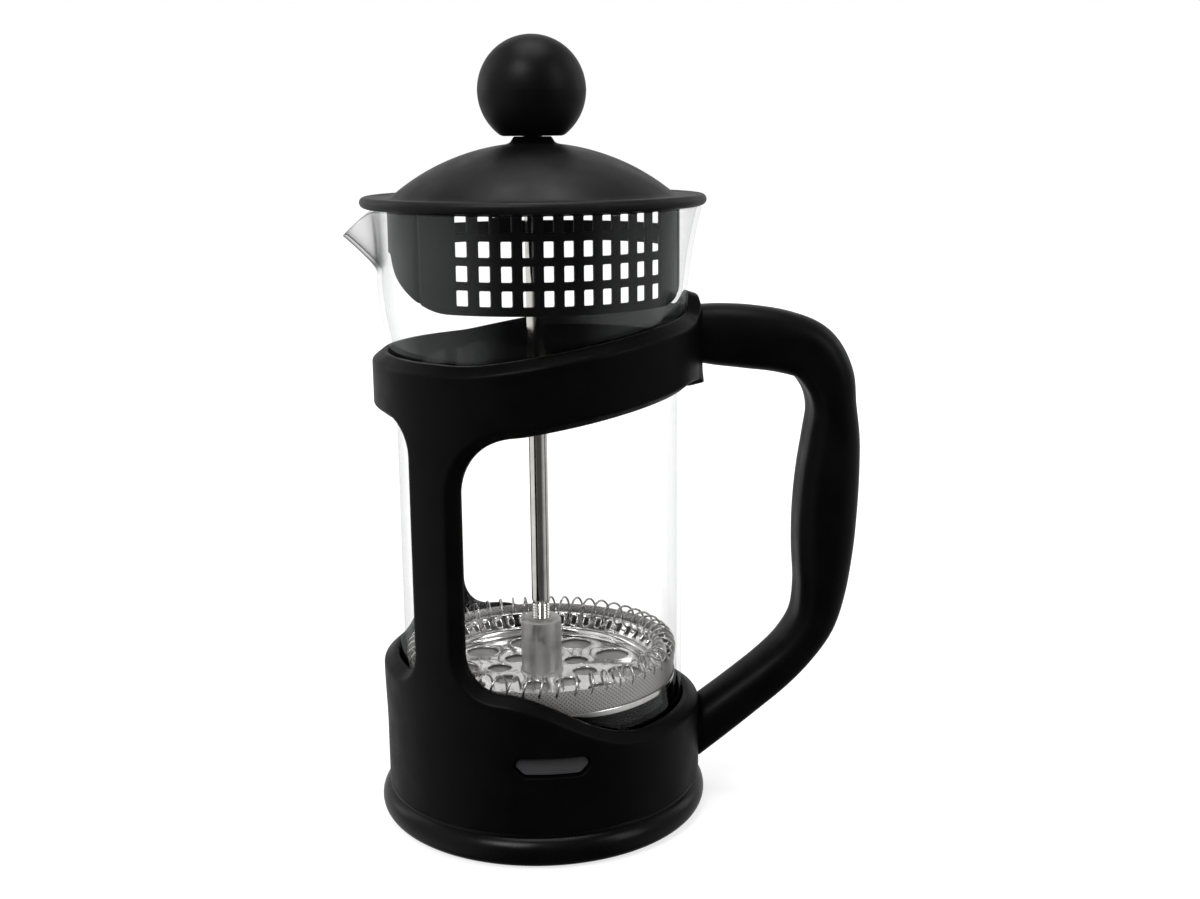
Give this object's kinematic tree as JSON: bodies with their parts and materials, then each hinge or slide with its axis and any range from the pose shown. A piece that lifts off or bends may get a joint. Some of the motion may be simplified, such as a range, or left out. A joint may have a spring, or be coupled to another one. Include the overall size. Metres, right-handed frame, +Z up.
{
  "type": "french press",
  "caption": "Small plunger coffee maker: glass beaker in a black moulded frame with a handle, domed lid with pouring strainer, ball-knob plunger and coil-sealed mesh filter.",
  "frame": {"origin": "middle of the foot's flat underside, on the beaker's axis, on the surface the press stands on", "axes": "+Z up along the beaker's axis, +X towards the handle, -X towards the spout"},
  "size_m": [0.1257, 0.082, 0.19],
  "materials": {
    "frame_plastic": "black moulded polypropylene with a fine satin grain",
    "foot_plastic": "black moulded polypropylene, a little glossier than the frame",
    "handle_plastic": "black moulded polypropylene, smooth satin",
    "screw_steel": "zinc plated",
    "beaker_glass": "clear borosilicate",
    "lid_plastic": "charcoal black with a fine spark-eroded grain",
    "strainer_plastic": "black, smooth satin",
    "rod_steel": "polished stainless steel",
    "knob_plastic": "black satin phenolic with a mould line",
    "insert_brass": "turned",
    "hub_steel": "satin turned stainless steel",
    "plate_steel": "bright pressed stainless steel",
    "spring_steel": "bright drawn wire",
    "mesh_steel": "woven stainless mesh"
  },
  "bodies": {
    "frame": {"frame_shell": "frame_plastic", "foot_base": "foot_plastic", "handle": "handle_plastic", "handle_screws": "screw_steel"},
    "beaker": {"beaker": "beaker_glass"},
    "lid": {"lid_dome": "lid_plastic"},
    "strainer": {"lid_strainer": "strainer_plastic"},
    "plunger": {"rod": "rod_steel", "knob": "knob_plastic", "knob_insert": "insert_brass", "hub_nut": "hub_steel", "spring_plate": "plate_steel", "coil_spring": "spring_steel", "mesh_screen": "mesh_steel", "bottom_plate": "plate_steel", "clamp_screw": "hub_steel"}
  },
  "joints": [
    {"name": "beaker_lift", "type": "slide", "parent": "frame", "child": "beaker", "axis": [0, 0, 1], "range_m": [0, 0.13]},
    {"name": "lid_lift", "type": "slide", "parent": "beaker", "child": "lid", "axis": [0, 0, 1], "range_m": [0, 0.125]},
    {"name": "lid_turn", "type": "hinge", "parent": "lid", "child": "strainer", "pos_m": [0, 0, 0.1404], "axis": [0, 0, 1], "continuous": true},
    {"name": "plunger_slide", "type": "slide", "parent": "lid", "child": "plunger", "axis": [0, 0, 1], "range_m": [0, 0.082]}
  ]
}
